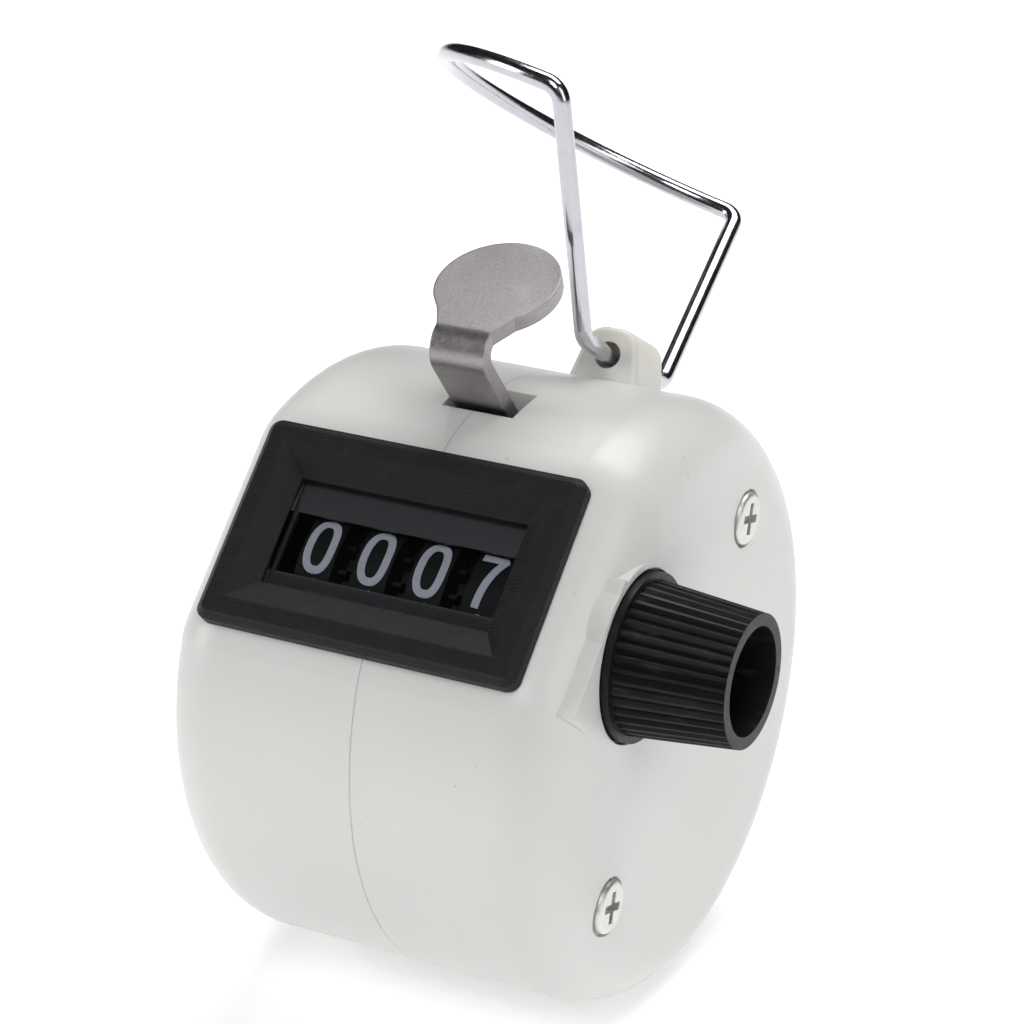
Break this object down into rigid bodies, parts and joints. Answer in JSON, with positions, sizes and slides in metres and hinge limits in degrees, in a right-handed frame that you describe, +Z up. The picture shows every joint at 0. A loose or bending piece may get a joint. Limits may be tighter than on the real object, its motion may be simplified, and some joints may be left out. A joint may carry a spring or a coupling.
{
  "type": "hand tally counter",
  "caption": "Drum-shaped hand tally counter with a dial window, thumb lever, reset knob and hinged wire finger ring.",
  "frame": {"origin": "centre of the flat left end face, on the drum's axis", "axes": "+X along the drum's axis from the left end face to the reset knob, +Z up; the dial window faces -Y and 46 degrees up, as the counter lies on its round side"},
  "size_m": [0.0401, 0.0585, 0.066],
  "materials": {
    "white_plastic": "glossy white ABS",
    "black_plastic": "satin black moulding",
    "knob_plastic": "satin black moulding with fine ribs",
    "clear_plastic": "clear polished acrylic",
    "wheel_plastic": "matt black nylon",
    "pinion_plastic": "natural acetal",
    "zinc_steel": "zinc-plated sheet",
    "nickel_steel": "nickel plated",
    "bright_steel": "bright drawn steel",
    "spring_steel": "spring steel",
    "lever_steel": "tumbled nickel-plated sheet, finely grained",
    "ring_chrome": "polished nickel-plated wire"
  },
  "bodies": {
    "case": {"left_shell": "white_plastic", "right_shell": "white_plastic", "bezel": "black_plastic", "window_lens": "clear_plastic", "window_mask": "black_plastic", "inner_frame": "zinc_steel", "frame_screws": "zinc_steel", "case_screws": "nickel_steel", "pinion_shaft": "bright_steel", "detent_spring": "spring_steel", "return_spring": "spring_steel"},
    "knob": {"reset_knob": "knob_plastic", "main_shaft": "bright_steel", "main_shaft_clip": "spring_steel"},
    "lever": {"thumb_lever": "lever_steel", "lever_shaft": "bright_steel", "lever_shaft_clips": "spring_steel", "pawl_arm": "bright_steel", "drive_pawl": "bright_steel", "pawl_rivet": "bright_steel"},
    "units": {"units_wheel": "wheel_plastic", "ratchet_wheel": "bright_steel"},
    "tens": {"tens_wheel": "wheel_plastic"},
    "hundreds": {"hundreds_wheel": "wheel_plastic"},
    "thousands": {"thousands_wheel": "wheel_plastic"},
    "pinion_10": {"tens_pinion": "pinion_plastic"},
    "pinion_100": {"hundreds_pinion": "pinion_plastic"},
    "pinion_1000": {"thousands_pinion": "pinion_plastic"},
    "ring": {"finger_ring": "ring_chrome"}
  },
  "joints": [
    {"name": "knob_turn", "type": "hinge", "parent": "case", "child": "knob", "pos_m": [0.01585, -0.00923, 0.00819], "axis": [1, 0, 0], "continuous": true},
    {"name": "lever_press", "type": "hinge", "parent": "case", "child": "lever", "pos_m": [0.01585, -0.0002, 0.01482], "axis": [-1, 0, 0], "range_deg": [0, 8], "stiffness_Nm_per_rad": 0.12, "springref_deg": -6.88, "deforming": ["return_spring"]},
    {"name": "units_turn", "type": "hinge", "parent": "case", "child": "units", "pos_m": [0.01585, -0.00923, 0.00819], "axis": [-1, 0, 0], "range_deg": [0, 36], "deforming": ["detent_spring"]},
    {"name": "tens_turn", "type": "hinge", "parent": "case", "child": "tens", "pos_m": [0.01585, -0.00923, 0.00819], "axis": [1, 0, 0], "continuous": true},
    {"name": "hundreds_turn", "type": "hinge", "parent": "case", "child": "hundreds", "pos_m": [0.01585, -0.00923, 0.00819], "axis": [1, 0, 0], "continuous": true},
    {"name": "thousands_turn", "type": "hinge", "parent": "case", "child": "thousands", "pos_m": [0.01585, -0.00923, 0.00819], "axis": [1, 0, 0], "continuous": true},
    {"name": "tens_pinion_turn", "type": "hinge", "parent": "case", "child": "pinion_10", "pos_m": [0.01585, -0.00598, 0.0009], "axis": [1, 0, 0], "continuous": true},
    {"name": "hundreds_pinion_turn", "type": "hinge", "parent": "case", "child": "pinion_100", "pos_m": [0.01585, -0.00598, 0.0009], "axis": [1, 0, 0], "continuous": true},
    {"name": "thousands_pinion_turn", "type": "hinge", "parent": "case", "child": "pinion_1000", "pos_m": [0.01585, -0.00598, 0.0009], "axis": [1, 0, 0], "continuous": true},
    {"name": "ring_swing", "type": "hinge", "parent": "case", "child": "ring", "pos_m": [0.01969, 0.0123, 0.02003], "axis": [0, 0.8643, -0.503], "range_deg": [-4, 90]}
  ],
  "couplings": [
    {"joint": "units_turn", "follows": "lever_press", "ratio": 4.5},
    {"joint": "tens_turn", "follows": "knob_turn", "ratio": 1},
    {"joint": "tens_pinion_turn", "follows": "knob_turn", "ratio": -2.5},
    {"joint": "hundreds_turn", "follows": "knob_turn", "ratio": 1},
    {"joint": "hundreds_pinion_turn", "follows": "knob_turn", "ratio": -2.5},
    {"joint": "thousands_turn", "follows": "knob_turn", "ratio": 1},
    {"joint": "thousands_pinion_turn", "follows": "knob_turn", "ratio": -2.5}
  ]
}
